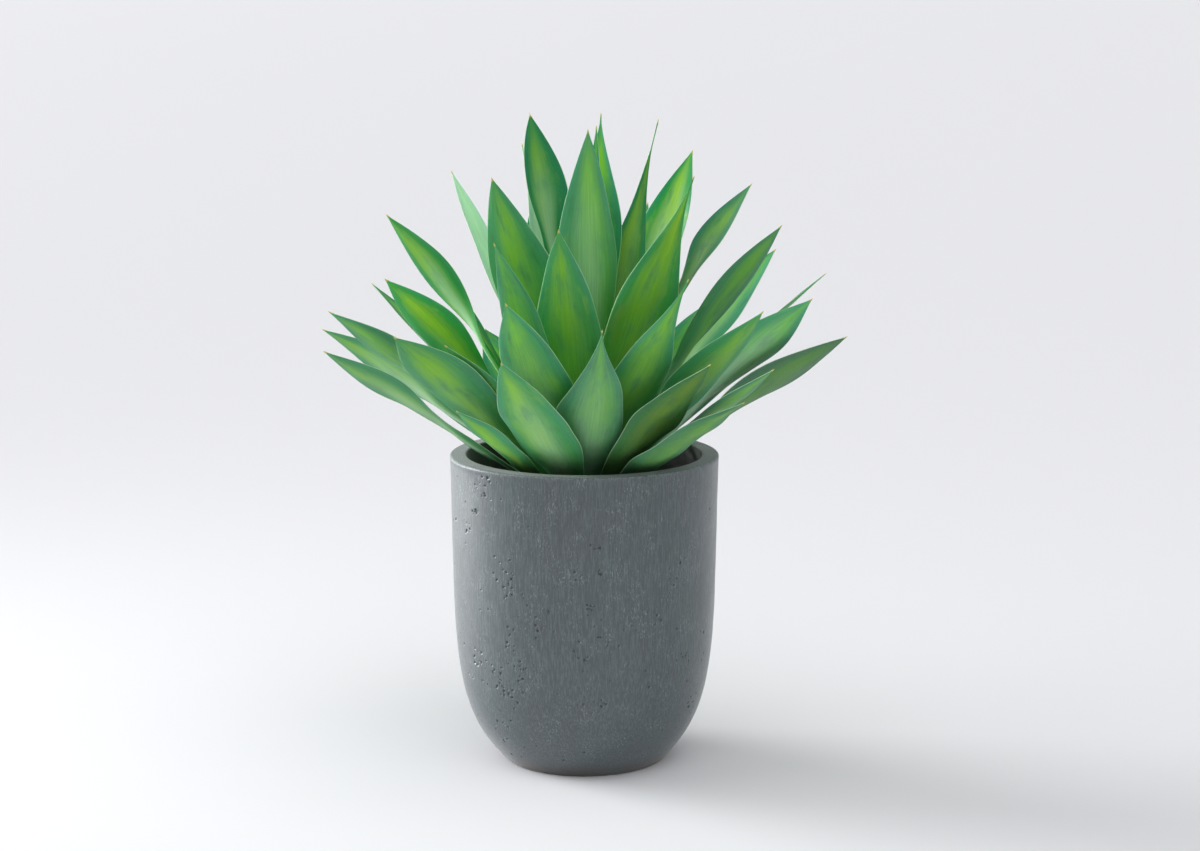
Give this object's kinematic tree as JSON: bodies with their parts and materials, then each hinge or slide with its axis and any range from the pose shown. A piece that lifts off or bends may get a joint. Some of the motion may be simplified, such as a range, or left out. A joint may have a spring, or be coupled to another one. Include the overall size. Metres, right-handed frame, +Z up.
{
  "type": "potted agave",
  "caption": "Potted agave: a rosette of smooth, pointed, channelled leaves fanning out from a short stem, in a tall round-bottomed fibre-clay planter with soil.",
  "frame": {"origin": "middle of the planter's flat foot, on the surface that it stands on", "axes": "+Z up along the planter's axis; -Y is the front as pictured; +X to the viewer's right"},
  "size_m": [0.6601, 0.7065, 0.8387],
  "materials": {
    "fibre_clay": "matt charcoal grey fibre clay with brushed streaks, chalky flecks and small air pits",
    "soil": "dark crumbly potting soil",
    "stem": "fibrous pale brown stem with leaf scars",
    "leaf": "smooth waxy green with blue-green edges, a yellow-green middle band and a soft sheen"
  },
  "bodies": {
    "root": {"pot": "fibre_clay", "soil": "soil", "stem": "stem", "leaf_01": "leaf", "leaf_02": "leaf", "leaf_03": "leaf", "leaf_04": "leaf", "leaf_05": "leaf", "leaf_06": "leaf", "leaf_07": "leaf", "leaf_08": "leaf", "leaf_09": "leaf", "leaf_10": "leaf", "leaf_11": "leaf", "leaf_12": "leaf", "leaf_13": "leaf", "leaf_14": "leaf", "leaf_15": "leaf", "leaf_16": "leaf", "leaf_17": "leaf", "leaf_18": "leaf", "leaf_19": "leaf", "leaf_20": "leaf", "leaf_21": "leaf", "leaf_22": "leaf", "leaf_23": "leaf", "leaf_24": "leaf", "leaf_25": "leaf", "leaf_26": "leaf", "leaf_27": "leaf", "leaf_28": "leaf", "leaf_29": "leaf", "leaf_30": "leaf", "leaf_31": "leaf", "leaf_32": "leaf", "leaf_33": "leaf", "leaf_34": "leaf", "leaf_35": "leaf", "leaf_36": "leaf", "leaf_37": "leaf", "leaf_38": "leaf", "leaf_39": "leaf", "leaf_40": "leaf", "leaf_41": "leaf", "leaf_42": "leaf", "leaf_43": "leaf", "leaf_44": "leaf", "leaf_45": "leaf", "leaf_46": "leaf", "leaf_47": "leaf", "leaf_48": "leaf", "leaf_49": "leaf", "leaf_50": "leaf", "leaf_51": "leaf", "leaf_52": "leaf", "leaf_53": "leaf", "leaf_54": "leaf", "leaf_55": "leaf", "leaf_56": "leaf", "leaf_57": "leaf"}
  },
  "joints": []
}
